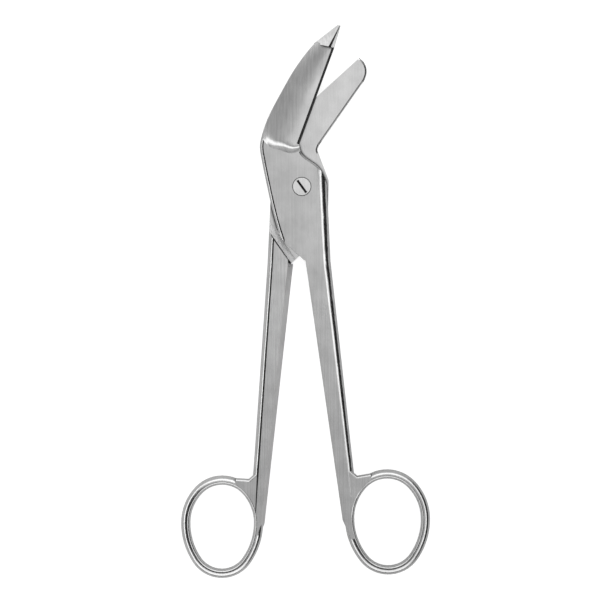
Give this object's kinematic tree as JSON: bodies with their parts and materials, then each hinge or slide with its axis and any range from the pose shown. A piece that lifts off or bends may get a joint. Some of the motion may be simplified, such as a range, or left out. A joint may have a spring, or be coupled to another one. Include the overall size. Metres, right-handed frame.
{
  "type": "bandage scissors",
  "caption": "Polished steel bandage scissors with angled blades, a blunt probe tip, a screw joint and two finger rings; the halves open and close.",
  "frame": {"origin": "on the pivot screw's axis, in the plane that the scissors lie on", "axes": "+Y from the pivot to the blades' tips, +Z along the pivot axis to the screw's head, +X to the side that the blades are angled to"},
  "size_m": [0.0903, 0.2006, 0.0056],
  "materials": {
    "front_half_steel": "polished stainless steel with fine grinding lines",
    "rear_half_steel": "polished stainless steel with fine grinding lines",
    "screw_steel": "turned and polished stainless steel"
  },
  "bodies": {
    "rear": {"rear_half": "rear_half_steel", "pivot_screw": "screw_steel"},
    "front": {"front_half": "front_half_steel"}
  },
  "joints": [
    {"name": "scissor_pivot", "type": "hinge", "parent": "rear", "child": "front", "pos_m": [0, 0, 0], "axis": [0, 0, 1], "range_deg": [-12.9, 62.1]}
  ]
}
